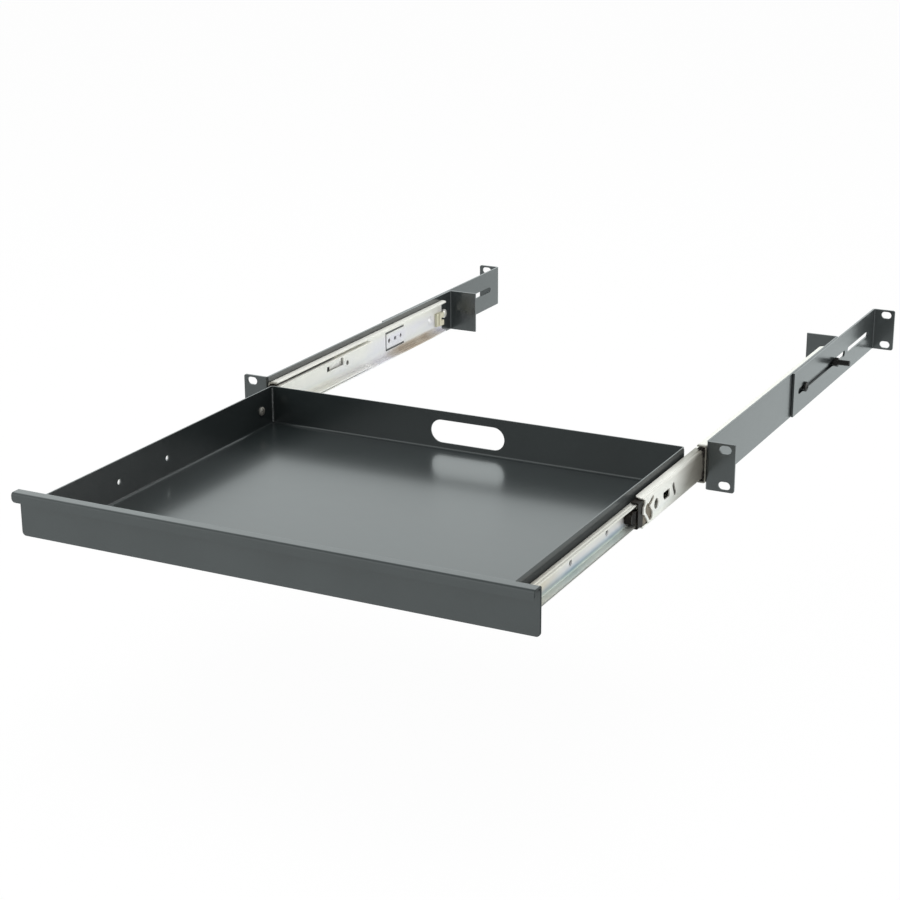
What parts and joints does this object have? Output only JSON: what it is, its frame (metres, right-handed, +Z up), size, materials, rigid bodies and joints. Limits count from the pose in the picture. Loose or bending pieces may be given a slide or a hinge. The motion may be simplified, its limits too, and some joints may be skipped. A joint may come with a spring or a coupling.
{
  "type": "sliding rack drawer",
  "caption": "One-unit 19-inch rack drawer on ball-bearing slides, with a pull lip, hand slot, slotted ears and depth-adjustable rear brackets.",
  "frame": {"origin": "middle of the rack mounting plane, at the rear faces of the front ears, midway between the ear slots", "axes": "+X across the rack to the right as seen from the front, +Y back into the rack, +Z up; the drawer is pulled out to its full travel"},
  "size_m": [0.4826, 0.8642, 0.0429],
  "materials": {
    "black_paint": "satin powder coat with a fine texture",
    "zinc": "bright zinc plating with a faint rainbow tint",
    "ball_steel": "polished and greased",
    "black_plastic": "moulded",
    "beige_plastic": "moulded",
    "black_oxide": "black oxide"
  },
  "bodies": {
    "root": {"front_rail_l": "black_paint", "front_rail_r": "black_paint", "outer_member_l": "zinc", "outer_member_r": "zinc", "rear_bumper_l": "beige_plastic", "rear_bumper_r": "beige_plastic", "slide_rivets_l": "zinc", "slide_rivets_r": "zinc", "front_clamp_screws": "black_oxide", "rear_clamp_screws": "zinc", "clamp_nuts_l": "black_oxide", "clamp_nuts_r": "black_oxide"},
    "drawer": {"drawer_tray": "black_paint", "front_panel": "black_paint", "panel_studs": "zinc", "panel_nuts": "zinc", "inner_member_l": "zinc", "inner_member_r": "zinc", "drawer_screws_l": "zinc", "drawer_screws_r": "zinc", "lever_pin_l": "zinc", "lever_pin_r": "zinc"},
    "middle_l": {"middle_member_l": "zinc"},
    "middle_r": {"middle_member_r": "zinc"},
    "outer_cage_l": {"outer_cage_l": "black_plastic", "outer_balls_l": "ball_steel"},
    "outer_cage_r": {"outer_cage_r": "black_plastic", "outer_balls_r": "ball_steel"},
    "inner_cage_l": {"inner_cage_l": "black_plastic", "inner_balls_l": "ball_steel"},
    "inner_cage_r": {"inner_cage_r": "black_plastic", "inner_balls_r": "ball_steel"},
    "release_lever_l": {"release_lever_l": "black_plastic"},
    "release_lever_r": {"release_lever_r": "black_plastic"},
    "rear_bracket_l": {"rear_bracket_l": "black_paint"},
    "rear_bracket_r": {"rear_bracket_r": "black_paint"}
  },
  "joints": [
    {"name": "drawer_slide", "type": "slide", "parent": "root", "child": "drawer", "axis": [0, 1, 0], "range_m": [0, 0.35]},
    {"name": "middle_slide_l", "type": "slide", "parent": "root", "child": "middle_l", "axis": [0, 1, 0], "range_m": [0, 0.147]},
    {"name": "middle_slide_r", "type": "slide", "parent": "root", "child": "middle_r", "axis": [0, 1, 0], "range_m": [0, 0.147]},
    {"name": "outer_cage_slide_l", "type": "slide", "parent": "root", "child": "outer_cage_l", "axis": [0, 1, 0], "range_m": [0, 0.0735]},
    {"name": "outer_cage_slide_r", "type": "slide", "parent": "root", "child": "outer_cage_r", "axis": [0, 1, 0], "range_m": [0, 0.0735]},
    {"name": "inner_cage_slide_l", "type": "slide", "parent": "root", "child": "inner_cage_l", "axis": [0, 1, 0], "range_m": [0, 0.2485]},
    {"name": "inner_cage_slide_r", "type": "slide", "parent": "root", "child": "inner_cage_r", "axis": [0, 1, 0], "range_m": [0, 0.2485]},
    {"name": "release_lever_hinge_l", "type": "hinge", "parent": "drawer", "child": "release_lever_l", "pos_m": [-0.2075, -0.144, 0], "axis": [1, 0, 0], "range_deg": [-3, 3], "stiffness_Nm_per_rad": 0.05},
    {"name": "release_lever_hinge_r", "type": "hinge", "parent": "drawer", "child": "release_lever_r", "pos_m": [0.2075, -0.144, 0], "axis": [1, 0, 0], "range_deg": [-3, 3], "stiffness_Nm_per_rad": 0.05},
    {"name": "bracket_depth_l", "type": "slide", "parent": "root", "child": "rear_bracket_l", "axis": [0, 1, 0], "range_m": [-0.03, 0.016]},
    {"name": "bracket_depth_r", "type": "slide", "parent": "root", "child": "rear_bracket_r", "axis": [0, 1, 0], "range_m": [-0.03, 0.016]}
  ],
  "couplings": [
    {"joint": "middle_slide_l", "follows": "drawer_slide", "ratio": 0.42},
    {"joint": "middle_slide_r", "follows": "drawer_slide", "ratio": 0.42},
    {"joint": "outer_cage_slide_l", "follows": "drawer_slide", "ratio": 0.21},
    {"joint": "outer_cage_slide_r", "follows": "drawer_slide", "ratio": 0.21},
    {"joint": "inner_cage_slide_l", "follows": "drawer_slide", "ratio": 0.71},
    {"joint": "inner_cage_slide_r", "follows": "drawer_slide", "ratio": 0.71}
  ]
}
